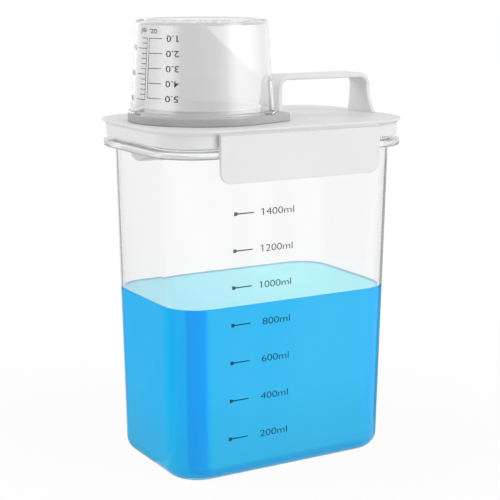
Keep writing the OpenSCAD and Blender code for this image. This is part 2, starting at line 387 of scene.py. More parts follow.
def open_ends(piece):
    """Removes the two end caps of a stack that came back to where it began, and joins the seam."""
    most_corners_of_a_side = 8
    pick(piece, "FACE", lambda f: len(f.verts) > most_corners_of_a_side)
    bpy.ops.mesh.delete(type="ONLY_FACE")
    bpy.ops.mesh.select_mode(type="VERT")
    select_all()
    bpy.ops.mesh.remove_doubles(threshold=HAIR)


def face_out():
    """Turns all the faces of the piece being edited outwards."""
    select_all()
    bpy.ops.mesh.normals_make_consistent(inside=False)


def modify(piece, kind, **settings):
    """Adds a modifier, sets it and applies it."""
    take(piece)
    bpy.ops.object.modifier_add(type=kind)
    modifier = piece.modifiers[-1]
    for key, value in settings.items():
        setattr(modifier, key, value)
    bpy.ops.object.modifier_apply(modifier=modifier.name)


def cut_out(piece, tool):
    """Cuts a tool out of a piece and removes the tool."""
    modify(piece, "BOOLEAN", operation="DIFFERENCE", solver="EXACT", object=tool)
    take(tool)
    bpy.ops.object.delete()


def drill(piece, centre, radius, bottom, top):
    """Cuts an upright round hole."""
    tool = add_ring("drill", centre, radius, bottom)
    extrude(0, 0, top - bottom)
    face_out()
    cut_out(piece, tool)


def add_block(name, corner_low, corner_high):
    """A block between two corners."""
    deselect_all()
    a, b = Vector(corner_low), Vector(corner_high)
    bpy.ops.mesh.primitive_cube_add(size=1, location=(a + b) / 2, scale=b - a)
    return name_new(name)


def smooth(piece, limit=40, weigh=True):
    """Shades a piece smoothly, apart from edges that turn by more than a limit in degrees."""
    take(piece)
    bpy.ops.object.shade_smooth_by_angle(angle=math.radians(limit))
    if weigh:
        modify(piece, "WEIGHTED_NORMAL", keep_sharp=True, weight=100)


def hand_over(piece, body, look, slot, *nodes):
    """Gives a finished piece its look and its body, and hides the frame nodes that it stands for.
    """
    deselect_all()
    piece.data.materials.clear()
    piece.data.materials.append(finish(look))
    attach(piece, body)
    if nodes:
        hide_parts(*nodes)


def dress(piece, look, test):
    """Gives the faces that pass a test a look of their own."""
    piece.data.materials.append(finish(look))
    edit(piece, "FACE")
    pick(piece, "FACE", test)
    piece.active_material_index = len(piece.data.materials) - 1
    bpy.ops.object.material_slot_assign()
    deselect_all()


def quarter(size, steps):
    """Points round a quarter turn: how much is left of the size sideways, and how far along."""
    for i in range(steps + 1):
        turn = math.pi / 2 * i / steps
        yield size * (1 - math.sin(turn)), size * (1 - math.cos(turn))


def round_over(outline, size, up, steps=4):
    """Levels from a flat cap out to an upright side, round an edge of the given size."""
    half_x, half_y, radius, height = outline
    return [
        (half_x - inset, half_y - inset, radius - inset, height - up * fall)
        for inset, fall in quarter(size, steps)
    ]


# ---------------------------------------------------------------- materials

def times(tone, factor):
    return tuple(min(1, c * factor) for c in tone)


def grey(level):
    return (level, level, level)


def new_material(name):
    """A material, its node tree and its shader."""
    material = bpy.data.materials.new(name)
    material.use_nodes = True
    tree = material.node_tree
    return material, tree, tree.nodes["Principled BSDF"]


def wire(tree, source, target):
    """Links an output to an input, or gives the input a plain value."""
    if hasattr(source, "is_linked"):
        tree.links.new(source, target)
    elif target.type == "RGBA":
        target.default_value = (*source, 1)
    else:
        target.default_value = source


def plug(tree, node, *sources, **values):
    """Fills inputs in their order and by name, with _ for a space; other names are settings."""
    for source, target in zip(sources, node.inputs):
        wire(tree, source, target)
    for key, value in values.items():
        name = key.replace("_", " ")
        if name in node.inputs:
            wire(tree, value, node.inputs[name])
        else:
            setattr(node, key, value)
    return node


def add_node(tree, kind, *sources, **values):
    return plug(tree, tree.nodes.new(kind), *sources, **values)


def set_surface(tree, source):
    """Sends a shader to the output of a material or of the world."""
    out = tree.nodes.get("Material Output") or tree.nodes["World Output"]
    tree.links.new(source, out.inputs["Surface"])


def show_mix(tree, factor, first, second):
    """Sends a mix of two shaders to the output."""
    mix = add_node(tree, "ShaderNodeMixShader", factor, first, second)
    set_surface(tree, mix.outputs["Shader"])


def calc(tree, operation, *terms):
    """One step of arithmetic."""
    return add_node(tree, "ShaderNodeMath", *terms, operation=operation).outputs["Value"]


def between(tree, source, start, end, first=0.0, last=1.0):
    """Maps a stretch of a value to another stretch."""
    node = add_node(tree, "ShaderNodeMapRange", source, start, end, first, last)
    return node.outputs["Result"]


def blend(tree, factor, first, second):
    """A mix of two colours by a factor."""
    return add_node(tree, "ShaderNodeMixRGB", factor, first, second).outputs["Color"]


def stops(tree, source, colours):
    """A colour ramp through several (place, colour) stops."""
    node = add_node(tree, "ShaderNodeValToRGB", source)
    band = node.color_ramp
    for i, (place, tone) in enumerate(colours):
        stop = band.elements[i] if i < 2 else band.elements.new(place)
        stop.position = place
        stop.color = (*tone, 1)
    return node.outputs["Color"]


def split(tree, output="Object"):
    """The three axes of the piece's own coordinates, or of its normal."""
    where = add_node(tree, "ShaderNodeTexCoord").outputs[output]
    return add_node(tree, "ShaderNodeSeparateXYZ", where).outputs


def object_noise(tree, scale, detail=2.0, stretch=(1, 1, 1)):
    """Noise on the piece's own coordinates, in metres."""
    where = add_node(tree, "ShaderNodeTexCoord").outputs["Object"]
    place = add_node(tree, "ShaderNodeMapping", Vector=where, Scale=stretch).outputs["Vector"]
    noise = add_node(tree, "ShaderNodeTexNoise", Vector=place, Scale=scale, Detail=detail)
    return noise.outputs["Fac"]


def mottle(tree, noise, first, second):
    """Soft patches of two colours."""
    return stops(tree, noise, ((0.35, first), (0.65, second)))


def grain(tree, shader, scale, smoothest, roughest, strength, depth):
    """Fine noise in a shader's roughness and bump."""
    fine = object_noise(tree, scale)
    bump = add_node(tree, "ShaderNodeBump", Strength=strength, Distance=depth, Height=fine)
    rough = between(tree, fine, 0.3, 0.7, smoothest, roughest)
    plug(tree, shader, Roughness=rough, Normal=bump.outputs["Normal"])


def moulded_plastic(name, tone):
    """Satin opaque moulding with a fine spark grain and a faint flow in its tone."""
    material, tree, shader = new_material(name)
    flow = object_noise(tree, 26, 3, (1, 1, 0.5))
    grain(tree, shader, 2600, 0.37, 0.48, 0.12, 0.04 * MM)
    skin = mottle(tree, flow, times(tone, 0.975), tone)
    plug(tree, shader, Base_Color=skin, IOR=1.46, Specular_IOR_Level=0.35)
    return material


MOST_BOUNCES = 3.5            # light that has turned more often than this is let out


def let_lamps_through(tree, shader, tint):
    """Lamps shine through glass, and light caught inside it gets out, instead of going black."""
    path = add_node(tree, "ShaderNodeLightPath").outputs
    trapped = calc(tree, "GREATER_THAN", path["Ray Depth"], MOST_BOUNCES)
    freed = calc(tree, "MAXIMUM", path["Is Shadow Ray"], trapped)
    clear = add_node(tree, "ShaderNodeBsdfTransparent", Color=tint)
    show_mix(tree, freed, shader.outputs["BSDF"], clear.outputs["BSDF"])


UNDERSIDE_SHADE = grey(0.22)        # painted shade on the flange's faces that look down
FOOT_SHADE_HEIGHTS = (10 * MM, 28 * MM)    # heights over which the painted edge shade grows from its weakest at the foot


def clear_plastic(name, tint, edges, ior, haze=0.0, shine=0.0, wet=0.0):
    """Clear glossy moulding with painted shade where it is seen edge on, less of it up to its wet
    level, and painted shade on hazy faces that look down.
    """
    material, tree, shader = new_material(name)
    # Painted shade: the tint darkens where a face is seen edge on.
    facing = add_node(tree, "ShaderNodeLayerWeight", Blend=0.5).outputs["Facing"]
    tone = stops(tree, facing, [(place, times(tint, part)) for place, part in edges])
    if wet:
        # Less painted edge shade below the wet level, and least at the foot.
        height = split(tree)["Z"]
        foot_shade_fade = between(tree, height, *FOOT_SHADE_HEIGHTS, 0.85, 0.5)
        wet_shade_fade = between(tree, height, wet - 1 * MM, wet, 1, 0)
        tone = blend(tree, calc(tree, "MULTIPLY", foot_shade_fade, wet_shade_fade), tone, tint)
    elif haze:
        # Painted shade on faces that look down.
        down = between(tree, split(tree, "Normal")["Z"], -0.05, -0.5, 0, 0.85)
        tone = blend(tree, down, tone, UNDERSIDE_SHADE)
    flow = mottle(tree, object_noise(tree, 60, 2, (1, 1, 0.25)), grey(0.99), grey(1))
    mix = add_node(tree, "ShaderNodeMixRGB", 1, tone, flow, blend_type="MULTIPLY")
    plug(
        tree, shader, Base_Color=mix.outputs["Color"], Roughness=0, IOR=ior,
        Transmission_Weight=1.0 - haze, Coat_Weight=shine, Coat_Roughness=0,
    )
    let_lamps_through(tree, shader, tuple(c**0.25 for c in tint))
    return material


# Painted shade towards the liquid's floor.
LIQUID_FLOOR_SHADE = (0.02, 0.36, 0.5)


def liquid_material(name, tone):
    """Dyed liquid with painted shade: darker bands at its upright corners, strongest on faces that
    look to -x, faint pale patches of its surface tone, and darker towards the floor.
    """
    material, tree, shader = new_material(name)
    way = split(tree, "Normal")
    front, end, corner_shade = tuple(tone.liquid), tuple(tone.liquid_end), tuple(tone.corner_shade)
    half = tuple(tone.liquid_bend)
    bands = (
        (0.28, end), (0.9995, front), (0.36, half), (0.685, half),
        (0.73, corner_shade), (0.97, corner_shade), (0.99, half),
    )
    # Painted shade: bands by how far a face turns to the front, darkest behind the rounded corners.
    band = stops(tree, calc(tree, "ABSOLUTE", way["Y"]), bands)
    # The painted bands are strongest on faces that look to -x.
    left = between(tree, way["X"], 0.15, -0.15, 0.3, 1)
    sides = blend(tree, left, front, band)
    milk = between(tree, object_noise(tree, 14, 2, (1, 1, 0.4)), 0.3, 0.7, 0, 0.06)
    sides = blend(tree, milk, sides, tuple(tone.surface))
    # Painted shade, darker towards the floor.
    depth = between(tree, split(tree)["Z"], 0, 45 * MM, 0.3, 0)
    sides = blend(tree, depth, sides, LIQUID_FLOOR_SHADE)
    plug(tree, shader, Base_Color=sides, Roughness=0.1, IOR=1.33, Specular_IOR_Level=0)
    return material


# Painted shade on the liquid's top: towards its -x end, and where it climbs the walls.
SURFACE_END_SHADE = (0.22, 0.7, 0.86)
MENISCUS_SHADE = (0.3, 0.52, 0.62)


def surface_material(name, tone, level):
    """The liquid's mirror-smooth top, painted paler than the liquid below it, with painted shade
    towards -x and where it climbs, and a faint painted glow.
    """
    material, tree, shader = new_material(name)
    top = mottle(tree, object_noise(tree, 22), times(tone, 0.94), tone)
    far = between(tree, split(tree)["X"], 22 * MM, -50 * MM, 0, 0.75)
    top = blend(tree, far, top, SURFACE_END_SHADE)
    climb = between(tree, split(tree)["Z"], level, level + 0.12 * MM, 0, 0.9)
    top = blend(tree, climb, top, MENISCUS_SHADE)
    # The emission is a painted glow that lightens the top.
    plug(
        tree, shader, Base_Color=top, Roughness=0.04, IOR=1.5,
        Emission_Color=(0.0, 0.055, 0.086), Emission_Strength=1,
    )
    return material


def soft_rubber(name, tone, see_through, painted_light_from=None):
    """Soft silicone with a dull sheen, painted shade under its edge, and painted light that makes
    it paler towards +x.
    """
    material, tree, shader = new_material(name)
    skin = mottle(tree, object_noise(tree, 120, 3), times(tone, 0.93), tone)
    if painted_light_from is not None:
        # Painted light: paler from here towards +x.
        thin = between(tree, split(tree)["X"], painted_light_from, painted_light_from + 34 * MM)
        skin = blend(tree, thin, skin, times(tone, 1.17))
        # Painted shade on faces that look down.
        under = between(tree, split(tree, "Normal")["Z"], -0.2, -0.7, 0, 0.6)
        skin = blend(tree, under, skin, times(tone, 0.4))
    grain(tree, shader, 1800, 0.42, 0.55, 0.1, 0.03 * MM)
    plug(tree, shader, Base_Color=skin, Transmission_Weight=see_through, IOR=1.41)
    return material


def ink_material(name, tone):
    """Screen-printed ink, slightly uneven."""
    material, tree, shader = new_material(name)
    light = tuple(min(1, c * 1.3 + 0.004) for c in tone)
    patches = mottle(tree, object_noise(tree, 900), tone, light)
    plug(tree, shader, Base_Color=patches, Roughness=0.55, Specular_IOR_Level=0.05, Alpha=0.88)
    return material


# Painted shade on clear plastic: how much of its tint is kept, from faces seen square on (0) to
# faces seen edge on (1).
BOX_EDGE_SHADE = (
    (0.0, 1.0), (0.37, 0.99), (0.46, 0.97), (0.585, 0.955), (0.615, 0.85), (0.64, 0.45),
    (0.68, 0.2), (0.73, 0.2), (0.78, 0.5), (0.88, 0.8), (1.0, 0.85),
)
INSIDE_EDGE_SHADE = (
    (0.0, 1.0), (0.4, 0.99), (0.46, 0.97), (0.52, 0.93), (0.6, 0.88), (0.75, 0.82), (1.0, 0.75),
)
RIM_EDGE_SHADE = ((0.0, 1.0), (0.5, 0.97), (0.75, 0.86), (1.0, 0.6))
CUP_EDGE_SHADE = ((0.0, 1.0), (0.6, 0.99), (0.8, 0.97), (1.0, 0.88))
BOX_IOR, RIM_IOR, CUP_IOR = 1.26, 1.3, 1.18


def finish(key):
    """The material of that name, made the first time it is asked for."""
    if key in bpy.data.materials:
        return bpy.data.materials[key]
    tone = sizes("colours")
    clear, wet = tuple(tone.clear), sizes("container").fill
    painted_light_from = low("cup_seal_ring").x + 34 * MM
    makers = {
        "white_moulding": (moulded_plastic, tuple(tone.white)),
        "clear_box_wall": (clear_plastic, clear, BOX_EDGE_SHADE, BOX_IOR, 0, 0, wet),
        "clear_box_inside": (clear_plastic, clear, INSIDE_EDGE_SHADE, BOX_IOR, 0, 0, wet),
        "clear_box_ledge": (clear_plastic, grey(0.86), RIM_EDGE_SHADE, RIM_IOR, 0.75),
        "clear_box_rim": (clear_plastic, grey(0.95), RIM_EDGE_SHADE, RIM_IOR, 0.45),
        "clear_cup_wall": (clear_plastic, tuple(tone.cup), CUP_EDGE_SHADE, CUP_IOR, 0, 1),
        "blue_detergent": (liquid_material, tone),
        "detergent_surface": (surface_material, tuple(tone.surface), wet),
        "clear_seal": (soft_rubber, tuple(tone.soft), 0),
        "grey_ring": (soft_rubber, tuple(tone.ring), 0.15, painted_light_from),
        "scale_ink": (ink_material, tuple(tone.ink)),
    }
    maker, *settings = makers[key]
    return maker(key, *settings)


# ---------------------------------------------------------------- the box and the liquid

def wall_level(box, height, out=0.0):
    """The box's outline at a height, moved outwards: half length, half width, radius, height."""
    lean = math.tan(box.draft) * height
    return (
        box.base_length / 2 + lean + out,
        box.base_width / 2 + lean + out,
        box.corner + out,
        height,
    )


def foot_levels(box, out, bottom, radius):
    """Levels round the foot of a leaning wall, from the flat bottom up."""
    return [
        wall_level(box, bottom + rise, out - inset) for inset, rise in quarter(radius, 8)
    ]


class DISPENSER_OT_container(bpy.types.Operator):
    """Model the clear box with its flange, neck and inner cavity"""

    bl_idname = "dispenser.container"
    bl_label = "Container"

    def execute(self, context):
        s = sizes("container")
        levels = foot_levels(s, 0, 0, s.foot)
        levels += [wall_level(s, height, out) for height, out in self.profile(s)]
        levels += foot_levels(s, -s.wall, s.floor, s.foot - s.wall)[::-1]
        piece = add_outline("container", levels)
        self.seat_latches(piece, s, sizes("lid"))
        face_out()
        smooth(piece, 50)
        hand_over(piece, "container", "clear_box_wall", "clear_plastic", "container_body")
        piece.visible_diffuse = False
        self.dress_faces(piece, s)
        return {"FINISHED"}

    def profile(self, s):
        """Heights and distances out, up the outside from above the foot and down the inside."""
        wall, flange, rib_out = s.wall, s.flange_out, s.rib_out
        under, over, rim = s.flange_low, s.flange_high, s.rim
        rib = over + 1.2 * MM
        soft, bend = 0.8 * MM, 0.22 * MM
        tall = (60 * MM, 120 * MM)
        return [
            *((height, 0) for height in tall),
            (under - 0.7 * MM, 0), (under - 0.2 * MM, 0.15 * MM), (under, 0.6 * MM),
            (under, flange - soft), (under + bend, flange - bend), (under + soft, flange),
            (over - soft, flange), (over - bend, flange - bend), (over, flange - soft),
            (over, 0.5 * MM), (over + 0.15 * MM, 0.12 * MM), (over + 0.5 * MM, 0),
            (rib - 0.45 * MM, 0), (rib - 0.3 * MM, rib_out * 0.7), (rib, rib_out),
            (rib + 0.3 * MM, rib_out * 0.7), (rib + 0.45 * MM, 0),
            (rim - 0.5 * MM, 0), (rim - 0.15 * MM, -0.15 * MM), (rim, -0.5 * MM),
            (rim, 0.5 * MM - wall), (rim - 0.15 * MM, 0.15 * MM - wall), (rim - 0.5 * MM, -wall),
            *((height, -wall) for height in tall[::-1]),
        ]

    def seat_latches(self, piece, s, lid):
        """Sets the flange back behind each latch, so that the latch's bead passes it."""
        edge = lid.latch_width / 2 + 0.3 * MM
        back = wall_level(s, s.flange_low, s.flange_out)[1] - s.flange_seat
        rim_from = wall_level(s, s.flange_low, 2 * MM)[1]

        def on_flange(v):
            return s.flange_low - NEAR < v.co.z < s.flange_high + NEAR and abs(v.co.y) > rim_from

        for x in (-edge, -edge + 0.4 * MM, edge - 0.4 * MM, edge):
            pick(piece, "FACE", lambda f: any(on_flange(v) for v in f.verts))
            cut((x, 0, 0), (1, 0, 0))
        for side in (-1, 1):
            pick(
                piece,
                "VERT",
                lambda v: on_flange(v) and v.co.y * side > 0 and abs(v.co.x) < edge - 0.3 * MM,
            )
            shift(0, -side * back, 0)

    def dress_faces(self, piece, s):
        """Gives the cavity, the flange with the outside of the neck, and the ledge their looks."""
        half_x, half_y, *_ = wall_level(s, s.flange_low, -0.5 * s.wall)
        bend_x, bend_y, bend_radius = 48 * MM, 24 * MM, 19 * MM
        inwards = -5 * MM     # the normal times the place, for faces that look inwards

        def in_cavity(f):
            c = middle_of(f)
            faces_in = f.normal.x * c.x + f.normal.y * c.y < inwards
            return faces_in or (f.normal.z > 0.3 and c.z < s.foot)

        def on_rim(f):
            c = middle_of(f)
            x, y = abs(c.x), abs(c.y)
            past_bend = math.hypot(x - bend_x, y - bend_y) > bend_radius
            return c.z > s.flange_low - 0.8 * MM and (x > half_x or y > half_y or past_bend)

        def on_ledge(f):
            return f.normal.z > 0.9 and abs(middle_of(f).z - s.flange_high) < 0.1 * MM

        dress(piece, "clear_box_inside", in_cavity)
        dress(piece, "clear_box_rim", on_rim)
        dress(piece, "clear_box_ledge", on_ledge)


# How the liquid climbs the walls: millimetres from the wall, and how much of the climb is left.
CLIMB = ((0, 1), (0.25, 0.72), (0.7, 0.4), (1.4, 0.15), (2.4, 0.03), (3.6, 0))
WETTING = 0.12 * MM


class DISPENSER_OT_detergent(bpy.types.Operator):
    """Model the liquid up to its surface, with the rim where it climbs the walls"""

    bl_idname = "dispenser.detergent"
    bl_label = "Detergent"

    def execute(self, context):
        s = sizes("container")
        wet = WETTING - s.wall
        levels = foot_levels(s, wet, s.floor - WETTING, s.foot - s.wall + WETTING)
        levels += [wall_level(s, height, wet) for height in (40 * MM, s.fill - 2 * MM)]
        for out, climb in CLIMB:
            levels.append(wall_level(s, s.fill + climb * s.meniscus, wet - out * MM))
        piece = add_outline("detergent", levels)
        face_out()
        smooth(piece, 50)
        hand_over(piece, "container", "blue_detergent", "blue_liquid", "detergent_fill")
        piece.visible_diffuse = False
        dress(
            piece,
            "detergent_surface",
            lambda f: f.normal.z > 0.35 and middle_of(f).z > s.fill - 1 * MM,
        )
        return {"FINISHED"}


# ---------------------------------------------------------------- the lid, its gasket and latches

def skirt_level(height, out=0.0):
    """The outline of the lid's skirt, moved outwards."""
    box = sizes("container")
    return (*wall_level(box, box.rim, sizes("lid").skirt_out + out)[:3], height)


def plug_level(height, out=0.0):
    """The outline of the wall that plugs the neck."""
    lid, box = sizes("lid"), sizes("container")
    bottom = lid.top - lid.plate - lid.plug
    return (*wall_level(box, bottom, out - box.wall - 0.3 * MM)[:3], height)


class DISPENSER_OT_lid(bpy.types.Operator):
    """Model the lid: plate, undercut lip, skirt, plug, spout hole and handle sockets"""

    bl_idname = "dispenser.lid"
    bl_label = "Lid"

    def execute(self, context):
        lid = sizes("lid")
        lip = lid.top - lid.lip
        under = lid.top - lid.plate
        bottom = under - lid.plug
        soft = lid.soft
        plate = (lid.half_length, lid.half_width, lid.corner)
        levels = round_over((*plate, lid.top), soft, 1)
        levels += [(*plate, lid.top - lid.edge)]
        levels += [skirt_level(lip + 0.02 * MM), skirt_level(lip - 0.02 * MM)]
        levels += round_over(skirt_level(lid.skirt_low), soft, -1)[::-1]
        levels += round_over(skirt_level(lid.skirt_low, -lid.skirt), -soft, 1)
        levels += [skirt_level(under, -lid.skirt), plug_level(under)]
        levels += round_over(plug_level(bottom), soft, -1)[::-1]
        levels += round_over(plug_level(bottom, -lid.plug_wall), -soft, 1)
        levels += [plug_level(under, -lid.plug_wall)]
        piece = add_outline("lid", levels)
        self.fill_lips(piece, lid)
        face_out()
        self.cut_openings(piece, lid)
        smooth(piece, 38)
        hand_over(piece, "lid", "white_moulding", "white_plastic", "lid_cover")
        return {"FINISHED"}

    def fill_lips(self, piece, lid):
        """Brings the lip down at full depth over each latch."""
        end = lid.latch_width / 2
        for x in (-end - 0.04 * MM, -end, end, end + 0.04 * MM):
            select_all()
            cut((x, 0, 0), (1, 0, 0), threshold=HAIR)
        lip = lid.top - lid.lip
        skirt = skirt_level(0)[1]
        for side in (-1, 1):
            pick(
                piece,
                "VERT",
                lambda v: abs(v.co.x) < end + NEAR
                and v.co.y * side > skirt - 0.05 * MM
                and 0 < v.co.z - lip < 0.04 * MM,
            )
            shift(0, side * (lid.half_width - skirt), 0)

    def cut_openings(self, piece, lid):
        """Cuts the hole for the spout and the two sockets for the handle."""
        centre, hole = middle("pour_spout").x, sizes("cup").collar + 0.3 * MM
        drill(piece, centre, hole, lid.top - 8 * MM, lid.top + 4 * MM)
        strap, half = sizes("handle").strap, 9 * MM
        first, last = low("carry_handle").x, high("carry_handle").x
        for left, right in ((first, first + strap), (last - strap, last)):
            bottom, top = lid.top - 1.2 * MM, lid.top + 1 * MM
            cut_out(piece, add_block("socket", (left, -half, bottom), (right, half, top)))


class DISPENSER_OT_gaskets(bpy.types.Operator):
    """Model the lid's gasket and the washer under the spout"""

    bl_idname = "dispenser.gaskets"
    bl_label = "Gaskets"

    def execute(self, context):
        self.add_lid_seal(sizes("container"), sizes("lid"))
        self.add_washer(sizes("cup"))
        return {"FINISHED"}

    def add_lid_seal(self, box, lid):
        """A ring that fills the channel over the rim, with four grooves round its outside."""
        under = lid.top - lid.plate
        foot = box.rim - 3 * MM
        neck = wall_level(box, box.rim, 0.3 * MM)[:3]
        groove = -0.25 * MM

        def outer(height, out=0.0):
            return skirt_level(height, out - lid.skirt)

        levels = [plug_level(under), outer(under)]
        for i in range(4):
            z = under - (1.2 + 1.1 * i) * MM
            levels += [outer(z), outer(z - 0.15 * MM, groove)]
            levels += [outer(z - 0.4 * MM, groove), outer(z - 0.55 * MM)]
        levels += [outer(foot + 0.2 * MM), outer(foot, -0.2 * MM), (*neck, foot), (*neck, box.rim)]
        levels += [plug_level(box.rim), plug_level(under)]
        piece = add_outline("lid_seal", levels)
        open_ends(piece)
        face_out()
        smooth(piece, 35, weigh=False)
        hand_over(piece, "lid", "clear_seal", "clear_silicone", "lid_gasket")

    def add_washer(self, cup):
        """A flat ring with softened outer edges."""
        bottom, top = low("spout_gasket").z, high("spout_gasket").z
        soft = 0.2 * MM
        profile = (
            (cup.collar, bottom), (cup.seat - soft, bottom), (cup.seat, bottom + soft),
            (cup.seat, top - soft), (cup.seat - soft, top), (cup.collar, top),
        )
        washer = turn_profile("spout_washer", middle("spout_gasket").x, profile)
        face_out()
        smooth(washer, 35, weigh=False)
        hand_over(washer, "lid", "clear_seal", "clear_silicone", "spout_gasket")


class DISPENSER_OT_latches(bpy.types.Operator):
    """Model one latch with its bead and finger rib, and copy it to the other side"""

    bl_idname = "dispenser.latches"
    bl_label = "Latches"

    def execute(self, context):
        lid = sizes("lid")
        bottom, top = low("front_latch"), high("front_latch")
        half = lid.latch_width / 2
        face = bottom.y
        back = face + lid.latch
        head = lid.top - lid.lip - 0.04 * MM
        piece = add_block("front_flap", (-half, face, bottom.z), (half, back, head))
        edit(piece)

        def lower_corner(e):
            across = abs(e.verts[0].co.y - e.verts[1].co.y)
            return middle_of(e).z < bottom.z + 0.1 * MM and across > lid.latch / 2

        def front_edge(e):
            in_front = all(v.co.y < face + NEAR for v in e.verts)
            return in_front and is_sharp(e) and middle_of(e).z < top.z - 0.1 * MM

        round_edges(piece, lid.latch_corner, lower_corner, 14)
        bead, rib = sizes("container").flange_low - 1.15 * MM, bottom.z + 0.6 * MM
        self.add_rib(piece, back, half - 5 * MM, bead, 0.85 * MM, 0.85 * MM)
        self.add_rib(piece, back, half - lid.latch_corner, rib, 0.6 * MM, 0.8 * MM)
        round_edges(piece, lid.soft, front_edge)
        face_out()
        smooth(piece)
        take(piece)
        bpy.ops.object.duplicate(linked=False)
        twin = bpy.context.object
        bpy.ops.transform.rotate(value=math.pi, orient_axis="Z", center_override=(0, 0, 0))
        name_new("rear_flap")
        for flap, node in ((piece, "front_latch"), (twin, "rear_latch")):
            hand_over(flap, node + "_body", "white_moulding", "white_plastic", node)
        return {"FINISHED"}

    def add_rib(self, piece, back, half, height, reach, out):
        """Raises a rounded rib from the back face of the latch."""
        edit(piece, "FACE")
        for place, way in (
            ((0, 0, height - reach), (0, 0, 1)),
            ((0, 0, height + reach), (0, 0, 1)),
            ((-half, 0, 0), (1, 0, 0)),
            ((half, 0, 0), (1, 0, 0)),
        ):
            pick(piece, "FACE", lambda f: all(v.co.y > back - NEAR for v in f.verts))
            cut(place, way)

        def on_rib(f):
            c = middle_of(f)
            flat = all(abs(v.co.y - back) < NEAR for v in f.verts)
            return flat and abs(c.z - height) < reach and abs(c.x) < half

        def crest(e):
            return is_sharp(e) and all(abs(v.co.y - back - out) < NEAR for v in e.verts)

        pick(piece, "FACE", on_rib)
        extrude(0, out, 0)
        round_edges(piece, min(reach, out) * 0.8, crest)


# ---------------------------------------------------------------- the handle

class DISPENSER_OT_handle(bpy.types.Operator):
    """Model the strap handle with its flared feet"""

    bl_idname = "dispenser.handle"
    bl_label = "Handle"

    def execute(self, context):
        s = sizes("handle")
        base = sizes("lid").top
        path = self.path(s, base)
        x, z, half_width = path[0]
        piece = self.add_cross_line(x, z, half_width)
        for (x0, z0, w0), (x1, z1, w1) in zip(path, path[1:]):
            extrude(x1 - x0, 0, z1 - z0)
            if abs(w1 - w0) > SAME:
                scale((1, w1 / w0, 1), (x1, 0, z1))
        modify(piece, "SOLIDIFY", thickness=s.strap, offset=0, use_even_offset=True)
        edit(piece)
        cut((0, 0, base), (0, 0, 1), clear_inner=True, use_fill=True)
        face_out()
        round_edges(
            piece,
            s.soft,
            lambda e: is_sharp(e) and any(v.co.z > base + NEAR for v in e.verts),
        )
        face_out()
        smooth(piece)
        hand_over(piece, "lid", "white_moulding", "white_plastic", "carry_handle")
        return {"FINISHED"}

    def path(self, s, base):
        """The strap's middle line over both legs and the bar: x, z and half width."""
        first, last = low("carry_handle"), high("carry_handle")
        centre, mid = middle("carry_handle").x, s.strap / 2
        tall = last.z - base
        leg = (last.x - first.x) / 2 - s.splay - mid

        def flare(h, most, power):
            return 0 if h >= s.flare else most * (1 - max(h, 0) / s.flare) ** power

        heights = [-1 * MM] + [s.flare * i / 8 for i in range(9)]
        half = [(leg + flare(h, s.splay, 1.6), h) for h in heights]
        turn_x, turn_z = leg - s.bend - mid, tall - s.strap - s.bend
        for degrees in range(0, 91, 10):
            a = math.radians(degrees)
            reach = s.bend + mid
            half.append((turn_x + reach * math.cos(a), turn_z + reach * math.sin(a)))
        path = [
            (x, base + z, s.width / 2 + flare(z, (s.foot - s.width) / 2, 2)) for x, z in half
        ]
        left = [(centre - x, z, width) for x, z, width in path]
        return left + [(centre + x, z, width) for x, z, width in path[::-1]]

    def add_cross_line(self, x, z, half_width):
        """A line of vertices across the strap, selected in edit mode."""
        deselect_all()
        bpy.ops.mesh.primitive_plane_add(size=2, location=(x, 0, z))
        piece = name_new("handle")
        edit(piece)
        pick(piece, "VERT", lambda v: v.co.x > x)
        bpy.ops.mesh.delete(type="VERT")
        select_all()
        scale((1, half_width, 1))
        pick(piece, "VERT", lambda v: True)
        shift(x - ends(piece, 0)[0], 0, 0)
        bpy.ops.mesh.subdivide(number_cuts=7)
        return piece


# ---------------------------------------------------------------- spout, cup and ring

class DISPENSER_OT_spout(bpy.types.Operator):
    """Turn the pouring collar with its seat and drip lip"""

    bl_idname = "dispenser.spout"
    bl_label = "Spout"

    def execute(self, context):
        s = sizes("cup")
        bore = s.collar - s.collar_wall
        top, bottom = high("pour_spout").z, low("pour_spout").z
        seat = sizes("lid").top + s.washer
        waist = s.collar - 0.6 * MM
        soft = 0.3 * MM
        profile = (
            (bore, bottom + soft), (bore + soft, bottom), (s.collar - soft, bottom),
            (s.collar, bottom + soft), (s.collar, seat), (s.seat - soft, seat),
            (s.seat, seat + soft), (s.seat, seat + 1.2 * MM), (s.seat - soft, seat + 1.5 * MM),
            (waist + 0.5 * MM, seat + 1.5 * MM), (waist + 0.1 * MM, seat + 1.7 * MM),
            (waist, seat + 2.2 * MM), (waist, top - 1.3 * MM), (waist + 0.2 * MM, top - 0.9 * MM),
            (s.collar, top - 0.5 * MM), (s.collar, top - 0.2 * MM), (s.collar - 0.2 * MM, top),
            (bore + 0.7 * MM, top), (bore + 0.2 * MM, top - soft), (bore, top - 0.8 * MM),
        )
        piece = turn_profile("spout", middle("pour_spout").x, profile)
        face_out()
        smooth(piece, 35)
        hand_over(piece, "lid", "white_moulding", "white_plastic", "pour_spout")
        return {"FINISHED"}


def cup_radius(height):
    """Outer radius of the cup's wall at a height."""
    s = sizes("cup")
    foot = high("cup_seal_ring").z
    return s.mouth - (s.mouth - s.top) * (height - foot) / (high("measuring_cup").z - foot)


CUP_CENTRE = 8 * MM           # radius of the flat disc in the middle of the cup's floor


